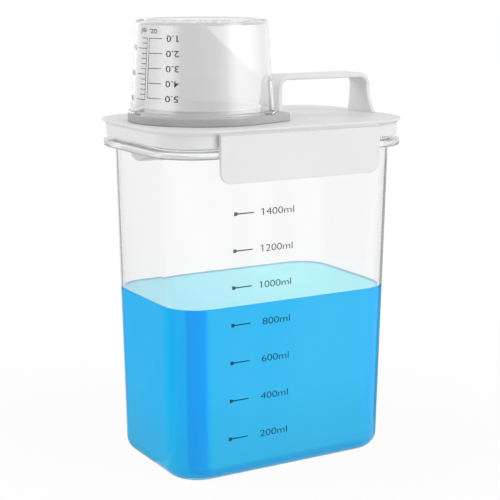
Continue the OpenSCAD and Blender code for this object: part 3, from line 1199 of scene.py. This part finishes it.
class DISPENSER_OT_cup(bpy.types.Operator):
    """Turn the clear measuring cup, mouth down over the spout"""

    bl_idname = "dispenser.cup"
    bl_label = "Measuring cup"

    def execute(self, context):
        s = sizes("cup")
        mouth, top = low("measuring_cup").z, high("measuring_cup").z
        bead = high("cup_seal_ring").z
        profile = self.outside(s, mouth, bead, top)[::-1] + self.inside(s, mouth, bead, top)[::-1]
        piece = turn_profile("cup", middle("measuring_cup").x, profile, closed=False)
        face_out()
        smooth(piece)
        hand_over(piece, "cup", "clear_cup_wall", "cup_plastic", "measuring_cup")
        piece.visible_diffuse = False
        return {"FINISHED"}

    def outside(self, s, mouth, bead, top):
        """Points from the mouth over the bead, up the wall and into the recess of the floor."""
        out, over = s.mouth + s.bead_out, bead + s.bead
        profile = [
            (s.mouth - s.wall + 0.2 * MM, mouth), (s.mouth - 0.2 * MM, mouth),
            (s.mouth, mouth + 0.2 * MM), (s.mouth, bead),
            (out - 0.3 * MM, bead), (out, bead + 0.3 * MM),
        ]
        profile += [(out - fall, over - inset) for inset, fall in quarter(0.7 * MM, 4)]
        wall = cup_radius(over)
        profile += [(wall + 0.25 * MM, over), (wall, over + 0.3 * MM)]
        edge = top - s.edge
        wall = cup_radius(edge)
        for i in range(9):
            turn = math.pi / 2 * i / 8
            profile.append(
                (wall - s.edge * (1 - math.cos(turn)), edge + s.edge * math.sin(turn))
            )
        ring, hollow = profile[-1][0], top - s.recess
        profile += [(ring - 1.3 * MM, top), (ring - 1.7 * MM, top - 0.2 * MM)]
        profile += [(ring - step * MM, hollow) for step in (2.0, 2.3, 3.2)]
        return profile + [(CUP_CENTRE, hollow)]

    def inside(self, s, mouth, bead, top):
        """Points from the middle of the floor down the inner wall to the mouth."""
        wall = cup_radius(top - s.edge) - s.wall
        floor = top - s.floor
        edge = s.edge - s.floor + 0.6 * MM
        profile = [(CUP_CENTRE, floor), (wall - edge - 0.8 * MM, floor)]
        for i in range(7):
            turn = math.pi / 2 * (1 - i / 6)
            profile.append(
                (wall - edge * (1 - math.cos(turn)), floor - edge * (1 - math.sin(turn)))
            )
        return profile + [(cup_radius(bead) - s.wall, bead), (s.mouth - s.wall, mouth + 0.2 * MM)]


class DISPENSER_OT_cup_ring(bpy.types.Operator):
    """Model the soft ring round the cup's mouth, with its thumb tab"""

    bl_idname = "dispenser.cup_ring"
    bl_label = "Cup ring"

    def execute(self, context):
        s = sizes("cup")
        centre = middle("measuring_cup").x
        bottom, top = low("cup_seal_ring").z, high("cup_seal_ring").z
        radius = s.mouth + s.bead_out
        tip = radius + s.tab_out - s.tab
        touch = math.acos((radius - s.tab) / tip)
        way = Vector((math.cos(s.tab_turn), -math.sin(s.tab_turn), 0))
        piece = add_ring("cup_ring", centre, radius, bottom, 144)
        pick(
            piece,
            "VERT",
            lambda v: Vector((v.co.x - centre, v.co.y, 0)).angle(way) < touch,
        )
        ratio = s.tab / radius
        scale((ratio, ratio, 1), (centre, 0, bottom))
        shift(*(way * tip))
        select_all()
        extrude(0, 0, top - bottom)
        round_edges(piece, 0.5 * MM, is_sharp, 3)
        face_out()
        floor = bottom + s.ring_floor
        drill(piece, centre, s.seat + 0.3 * MM, bottom - 1 * MM, floor + 0.5 * MM)
        drill(piece, centre, s.mouth + 0.05 * MM, floor, top + 1 * MM)
        smooth(piece)
        hand_over(piece, "cup", "grey_ring", "grey_silicone", "cup_seal_ring")
        return {"FINISHED"}


# ---------------------------------------------------------------- printed scales

FIGURE = 0.7                  # height of a figure as a share of its font size


def add_words(words, place, height, width, spacing, weight=0.0):
    """Figures of a given height and width as a flat mesh, upright and facing the front."""
    size = height / FIGURE
    deselect_all()
    bpy.ops.object.text_add()
    text = bpy.context.object.data
    text.body = words
    text.size = size
    text.align_x = text.align_y = "CENTER"
    text.offset = weight
    text.space_character = spacing
    text.resolution_u = 4
    bpy.ops.object.convert(target="MESH")
    mesh = bpy.context.object
    edit(mesh)
    shift(0, -sum(ends(mesh, 1)) / 2, 0)
    if words.startswith("1"):
        add_flag(mesh, size)
    select_all()
    bpy.ops.transform.rotate(value=-math.pi / 2, orient_axis="X", center_override=(0, 0, 0))
    left, right = ends(mesh, 0)
    centre = (left + right) / 2
    scale((width / (right - left), 1, 1), (centre, 0, 0))
    shift(-centre, 0, 0)
    put(mesh, place)
    return mesh


def add_flag(figures, size):
    """Gives a leading figure one its short slanted flag."""
    points = [v.co.copy() for v in vertices(figures)]
    left = min(p.x for p in points)
    top = max(p.y for p in points if p.x < left + 0.05 * size)
    wide, tall, slant = 0.15 * size, 0.09 * size, 0.1 * size
    bpy.ops.mesh.select_all(action="DESELECT")
    bpy.ops.mesh.primitive_plane_add(size=1)
    scale((wide, tall, 1))
    shift(left - wide / 2, top - tall / 2, 0)
    pick(figures, "VERT", lambda v: v.co.x < left - 0.9 * wide)
    shift(0, -slant, 0)


def add_bar(left, right, bottom, top):
    """A flat upright rectangle that faces the front, selected in edit mode."""
    deselect_all()
    bpy.ops.mesh.primitive_plane_add(size=1, rotation=(math.pi / 2, 0, 0))
    bar = name_new("bar")
    edit(bar)
    scale((right - left, 1, top - bottom))
    shift((left + right) / 2, 0, (bottom + top) / 2)
    return bar


def join(pieces, name):
    deselect_all()
    for piece in pieces:
        piece.select_set(True)
    bpy.context.view_layer.objects.active = pieces[0]
    bpy.ops.object.join()
    return name_new(name)


def put(piece, place):
    take(piece)
    shift(*place)
    freeze()


def hand_over_print(piece, body, slot):
    hand_over(piece, body, "scale_ink", slot)
    piece.visible_shadow = piece.visible_diffuse = False


# Height, start of the tick, and left and right end of the figures, in millimetres.
SCALE_ROWS = (
    (22.4, -37.9, -19.0, -2.45),
    (43.0, -37.45, -18.8, -2.2),
    (63.4, -37.1, -18.5, -2.05),
    (83.4, -36.7, -18.2, -1.6),
    (103.1, -36.3, -20.45, -1.2),
    (122.2, -35.85, -19.9, -0.6),
    (141.2, -35.4, -19.75, -0.05),
)


class DISPENSER_OT_box_print(bpy.types.Operator):
    """Print the millilitre scale on the front wall of the box"""

    bl_idname = "dispenser.box_print"
    bl_label = "Box scale"

    def execute(self, context):
        s, box = sizes("print"), sizes("container")
        marks = []
        for i, (height, tick_left, left, right) in enumerate(SCALE_ROWS):
            z = height * MM
            y = -wall_level(box, z, s.ink)[1]
            words = f"{s.step * (i + 1)}ml"
            place = ((left + right) / 2 * MM, y, z)
            marks.append(add_words(words, place, s.digit, (right - left) * MM, 0.98))
            marks.append(self.add_tick(s.tick, (tick_left * MM, y, z)))
        wet = 2 * sum(1 for height, *_ in SCALE_ROWS if height * MM < box.fill)
        for name, part in (("box_scale_lower", marks[:wet]), ("box_scale_upper", marks[wet:])):
            piece = join(part, name)
            self.lean(piece, box, s.ink)
            hand_over_print(piece, "container", "clear_plastic")
            piece.visible_transmission = name == "box_scale_upper"
        return {"FINISHED"}

    def lean(self, piece, box, ink):
        """Tilts each row of print to the lean of the wall."""
        edit(piece)
        lowest, highest = ends(piece, 2)
        for z in (height * MM for height, *_ in SCALE_ROWS):
            if lowest < z < highest:
                pick(piece, "VERT", lambda v: abs(v.co.z - z) < 6 * MM)
                centre = (0, -wall_level(box, z, ink)[1], z)
                bpy.ops.transform.rotate(value=box.draft, orient_axis="X", center_override=centre)

    def add_tick(self, length, place):
        """A nail-shaped tick: a blunt head that tapers to a thin line."""
        head, width, line = 0.95 * MM, 1.5 * MM, 0.3 * MM
        tick = add_bar(0, width, -head, head)
        for reach, half in (
            (0.7 * MM, line * 1.2), (length - 2.6 * MM, line), (0.4 * MM, line * 0.6),
        ):
            end = ends(tick, 0)[1]
            pick(tick, "EDGE", lambda e: all(v.co.x > end - HAIR for v in e.verts))
            wide = max(v.co.z for v in vertices(tick) if v.co.x > end - HAIR)
            extrude(reach, 0, 0)
            scale((1, 1, half / wide))
        put(tick, place)
        return tick


# The cup's print: turns from the cup's front in degrees, and heights in millimetres.
OUNCES = [227.85 - 7.42 * i for i in range(5)]
MILLILITRES = (222.75, 209.95, 197.15)
CUP_WORDS = (
    *((f"{i + 1}.0", -52.2, z, 3.1, 7.2) for i, z in enumerate(OUNCES)),
    *((str(50 * (i + 1)), -101.0, z, 2.6, 4.6) for i, z in enumerate(MILLILITRES)),
    ("oz.", -71.9, 231.4, 3.3, 5.4),
    ("ml", -84.6, 231.4, 2.9, 4.6),
)
CUP_LINE = 0.17               # half the thickness of a line, in millimetres
OUNCE_LINE, OUNCE_END = -76.3, -62.0
ML_LINE, ML_SHORT_END, ML_LONG_END = -79.2, -86.2, -91.5
ML_TICKS = [(227.85 - 2.56 * i, i in (2, 7, 12)) for i in range(13)]
CUP_BARS = (
    (OUNCE_LINE, OUNCE_LINE, OUNCES[-1], OUNCES[0]),
    (ML_LINE, ML_LINE, MILLILITRES[-1], OUNCES[0]),
    *((OUNCE_LINE, OUNCE_END, z, z) for z in OUNCES),
    *((ML_LONG_END if major else ML_SHORT_END, ML_LINE, z, z) for z, major in ML_TICKS),
)


class DISPENSER_OT_cup_print(bpy.types.Operator):
    """Print the ounce and millilitre scale on the cup, upright when the cup stands on its floor"""

    bl_idname = "dispenser.cup_print"
    bl_label = "Cup scale"

    def execute(self, context):
        radius = cup_radius(213 * MM)
        marks = []
        for words, turn, z, height, width in CUP_WORDS:
            mark = add_words(words, (0, 0, 0), height * MM, width * MM, 1.05, 0.05 * MM)
            edit(mark)
            bpy.ops.transform.rotate(value=math.pi, orient_axis="Y", center_override=(0, 0, 0))
            put(mark, (math.radians(turn) * radius, 0, z * MM))
            marks.append(mark)
        for first, last, bottom, top in CUP_BARS:
            side = CUP_LINE * MM if first == last else 0
            left, right = (math.radians(turn) * radius for turn in (first, last))
            low_z, high_z = (bottom - CUP_LINE) * MM, (top + CUP_LINE) * MM
            marks.append(add_bar(left - side, right + side, low_z, high_z))
            bpy.ops.mesh.subdivide(number_cuts=7)
        piece = join(marks, "cup_scale")
        edit(piece)
        self.wrap(piece, radius, sizes("print").ink)
        hand_over_print(piece, "cup", "cup_plastic")
        return {"FINISHED"}

    def wrap(self, piece, radius, ink):
        """Rolls the flat print round the cup's tapered wall."""
        centre = middle("measuring_cup").x
        for v in vertices(piece):
            turn = v.co.x / radius
            wall = cup_radius(v.co.z) + ink
            v.co.x = centre + wall * math.sin(turn)
            v.co.y = -wall * math.cos(turn)
        bmesh.update_edit_mesh(piece.data)


# ---------------------------------------------------------------- stage

CAMERA_PLACE = Vector((-354.07, -612.20, 254.62)) * MM
CAMERA_AIM = Vector((-1.20, 0, 111.91)) * MM
LAMP_AIM = Vector((0, 0, 0.1))
LAMP_SIZE = 1.2
LAMPS = (
    ("key", (0.85, -1.47, 1.0), 13.5),
    ("side", (-1.47, 0.85, 1.0), 11.4),
)

# The cup's light wall: levels by degrees round it, the same for what is added above its slanting
# edge, and the height of that edge in metres.
LIGHT_BANDS = (
    (-140, 0.6), (-122, 1.4), (-108, 2.4), (-96, 3.7), (-84, 4.0), (-78, 3.4), (-72.7, 2.4),
    (-67, 1.2), (-62, 0.1), (-36, 0), (-10.8, 0.7), (-0.5, 1.3), (10, 2.4), (21, 5.0), (32, 6.4),
    (44, 6.0), (72, 3.4), (89, 1.5), (112, 0.5), (120, 0),
)
LIGHT_ABOVE = ((-60, 0), (-20, 3.0), (40, 3.0), (55, 2.2), (70, 0.8), (90, 0.2), (105, 0))
LIGHT_EDGE = (
    (-20, 0.3844), (-5.9, 0.3671), (19.5, 0.3350), (33, 0.3129),
    (46.8, 0.2884), (66, 0.2541), (85, 0.2165),
)
LIGHT_FROM, LIGHT_TO = -140, 120
LIGHT_MOST = 8
LIGHT_RADIUS = 1.4
LIGHT_BOTTOM, LIGHT_TOP = 0.13, 0.4
LIGHT_BLUR = 3 * MM

# Name, two opposite corners on the ground, and how light the card is.
CARDS = (
    ("right_card", (0.06, -0.03), (0.5, 0.42), 0.15),
    ("left_card", (-0.42, 0.0), (-0.06, 0.5), 0.5),
)
CARD_BOTTOM, CARD_TOP = -0.1 * MM, 103.9 * MM


def seen_rays(tree):
    """1 for rays that are seen: straight, mirrored or through glass."""
    path = add_node(tree, "ShaderNodeLightPath").outputs
    first = calc(tree, "MAXIMUM", path["Is Camera Ray"], path["Is Glossy Ray"])
    return calc(tree, "MAXIMUM", first, path["Is Transmission Ray"])


def emission(tree, **values):
    return add_node(tree, "ShaderNodeEmission", **values).outputs["Emission"]


def turn_to(thing, place, aim):
    """Points a camera or lamp from its place at its aim."""
    thing.rotation_mode = "QUATERNION"
    thing.rotation_quaternion = (aim - Vector(place)).to_track_quat("-Z", "Y")


class DISPENSER_OT_stage(bpy.types.Operator):
    """Make the camera, the plain floor, the lamps and the white surroundings"""

    bl_idname = "dispenser.stage"
    bl_label = "Stage"

    def execute(self, context):
        s = sizes("stage")
        self.add_camera(context.scene, s)
        self.add_floor(s)
        self.add_lamps()
        self.add_cup_light()
        self.add_cards()
        self.set_world(context.scene, s)
        context.scene.view_settings.view_transform = "Standard"
        return {"FINISHED"}

    def add_camera(self, scene, s):
        deselect_all()
        bpy.ops.object.camera_add(location=CAMERA_PLACE)
        camera = bpy.context.object
        camera.name = "camera"
        turn_to(camera, CAMERA_PLACE, CAMERA_AIM)
        camera.data.lens = s.lens
        camera.data.sensor_width = 36
        camera.data.clip_start = 0.01
        scene.camera = camera

    def add_floor(self, s):
        """Plain paper that looks evenly white to the eye and still takes soft shadows."""
        deselect_all()
        bpy.ops.mesh.primitive_plane_add(size=6, location=(0, 0, -0.2 * MM))
        floor = name_new("floor")
        material, tree, shader = new_material("floor_paper")
        tone = tuple(s.floor)
        paper = mottle(tree, object_noise(tree, 3), times(tone, 0.99), tone)
        plug(tree, shader, Base_Color=paper, Roughness=0.9)
        where = add_node(tree, "ShaderNodeTexCoord").outputs["Object"]
        reach = add_node(tree, "ShaderNodeVectorMath", where, operation="LENGTH").outputs["Value"]
        part = calc(tree, "MULTIPLY", seen_rays(tree), between(tree, reach, 0.1, 0.35, 0.9, 1))
        show_mix(tree, part, shader.outputs["BSDF"], emission(tree, Color=grey(1)))
        floor.data.materials.append(material)

    def add_lamps(self):
        for name, place, power in LAMPS:
            deselect_all()
            bpy.ops.object.light_add(type="AREA", location=place)
            lamp = bpy.context.object
            lamp.name = name
            lamp.data.shape = "DISK"
            lamp.data.size = LAMP_SIZE
            lamp.data.energy = power
            turn_to(lamp, place, LAMP_AIM)
            lamp.visible_camera = False
            lamp.visible_glossy = lamp.visible_transmission = name == "key"

    def add_cup_light(self):
        """A round light wall that shows in the cup alone: soft bands and a slanting edge."""
        deselect_all()
        centre = (LIGHT_BOTTOM + LIGHT_TOP) / 2
        bpy.ops.mesh.primitive_cylinder_add(
            vertices=96,
            radius=LIGHT_RADIUS,
            depth=LIGHT_TOP - LIGHT_BOTTOM,
            end_fill_type="NOTHING",
            location=(middle("measuring_cup").x, 0, centre),
        )
        wall = bpy.context.object
        wall.name = "cup_light"
        material, tree, _ = new_material("cup_light_cloth")
        place = split(tree)
        turn = calc(tree, "ARCTAN2", place["X"], calc(tree, "MULTIPLY", place["Y"], -1))
        part = between(tree, turn, math.radians(LIGHT_FROM), math.radians(LIGHT_TO))

        def levels(table, most=1):
            """A value round the wall, from a table by degrees."""
            span = LIGHT_TO - LIGHT_FROM
            return stops(tree, part, [((a - LIGHT_FROM) / span, grey(v / most)) for a, v in table])

        bands, extra = levels(LIGHT_BANDS, LIGHT_MOST), levels(LIGHT_ABOVE, LIGHT_MOST)
        height = calc(tree, "ADD", place["Z"], centre)
        over = calc(tree, "SUBTRACT", height, levels(LIGHT_EDGE))
        above = calc(tree, "MULTIPLY", between(tree, over, -LIGHT_BLUR, LIGHT_BLUR), extra)
        level = calc(tree, "MULTIPLY", calc(tree, "ADD", bands, above), LIGHT_MOST)
        clear = add_node(tree, "ShaderNodeBsdfTransparent").outputs["BSDF"]
        both = add_node(tree, "ShaderNodeAddShader", emission(tree, Strength=level), clear)
        set_surface(tree, both.outputs["Shader"])
        wall.data.materials.append(material)
        self.hide_from_all_but_mirrors(wall)
        lit = bpy.data.collections.new("cup_light_reach")
        lit.objects.link(bpy.data.objects["cup"])
        wall.light_linking.receiver_collection = lit

    def hide_from_all_but_mirrors(self, thing):
        thing.visible_camera = thing.visible_transmission = False
        thing.visible_diffuse = thing.visible_shadow = False

    def add_cards(self):
        """Dark cards that only reflections see, which draw the edges of clear plastic."""
        for name, (x0, y0), (x1, y1), tone in CARDS:
            material, tree, _ = new_material(name + "_felt")
            set_surface(tree, emission(tree, Color=grey(tone)))
            card = add_block(name, (x0, y0, CARD_BOTTOM), (x1, y1, CARD_TOP))
            edit(card)
            inner_x = x0 if x0 > 0 else x1
            pick(
                card,
                "FACE",
                lambda f: middle_of(f).z > CARD_TOP - HAIR
                or middle_of(f).y < y0 + HAIR
                or abs(middle_of(f).x - inner_x) < HAIR,
            )
            bpy.ops.mesh.delete(type="FACE")
            deselect_all()
            card.data.materials.append(material)
            self.hide_from_all_but_mirrors(card)

    def set_world(self, scene, s):
        """Even white to the eye, and a dimmer white for the light that it throws."""
        world = scene.world = bpy.data.worlds.new("surroundings")
        world.use_nodes = True
        tree = world.node_tree
        plain = plug(tree, tree.nodes["Background"], Color=grey(1), Strength=s.fill)
        seen = add_node(tree, "ShaderNodeBackground", Color=grey(1), Strength=1)
        show_mix(tree, seen_rays(tree), plain.outputs["Background"], seen.outputs["Background"])


# ---------------------------------------------------------------- panel and main

GROUPS = (
    ("dispenser_container", ContainerSizes, "Container"),
    ("dispenser_lid", LidSizes, "Lid"),
    ("dispenser_handle", HandleSizes, "Handle"),
    ("dispenser_cup", CupSizes, "Cup"),
    ("dispenser_print", PrintSizes, "Print"),
    ("dispenser_colours", FinishColours, "Colours"),
    ("dispenser_stage", StageSettings, "Stage"),
)
OPERATORS = (
    DISPENSER_OT_container,
    DISPENSER_OT_detergent,
    DISPENSER_OT_lid,
    DISPENSER_OT_gaskets,
    DISPENSER_OT_latches,
    DISPENSER_OT_handle,
    DISPENSER_OT_spout,
    DISPENSER_OT_cup,
    DISPENSER_OT_cup_ring,
    DISPENSER_OT_box_print,
    DISPENSER_OT_cup_print,
    DISPENSER_OT_stage,
)


class DISPENSER_PT_panel(bpy.types.Panel):
    """Sizes, colours and steps of the dispenser"""

    bl_idname = "DISPENSER_PT_panel"
    bl_label = "Detergent dispenser"
    bl_space_type = "VIEW_3D"
    bl_region_type = "UI"
    bl_category = "Dispenser"

    def draw(self, context):
        layout = self.layout
        for operator in OPERATORS:
            layout.operator(operator.bl_idname)
        for attribute, group, title in GROUPS:
            box = layout.box()
            box.label(text=title)
            for key in group.__annotations__:
                box.prop(getattr(context.scene, attribute), key)


def register():
    for attribute, group, _ in GROUPS:
        bpy.utils.register_class(group)
        setattr(bpy.types.Scene, attribute, bpy.props.PointerProperty(type=group))
    for operator in OPERATORS:
        bpy.utils.register_class(operator)
    bpy.utils.register_class(DISPENSER_PT_panel)


def unregister():
    bpy.utils.unregister_class(DISPENSER_PT_panel)
    for operator in reversed(OPERATORS):
        bpy.utils.unregister_class(operator)
    for attribute, group, _ in reversed(GROUPS):
        delattr(bpy.types.Scene, attribute)
        bpy.utils.unregister_class(group)


def main():
    register()
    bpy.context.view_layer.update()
    for operator in OPERATORS:
        group, call = operator.bl_idname.split(".")
        getattr(getattr(bpy.ops, group), call)()


if __name__ == "__main__":
    main()
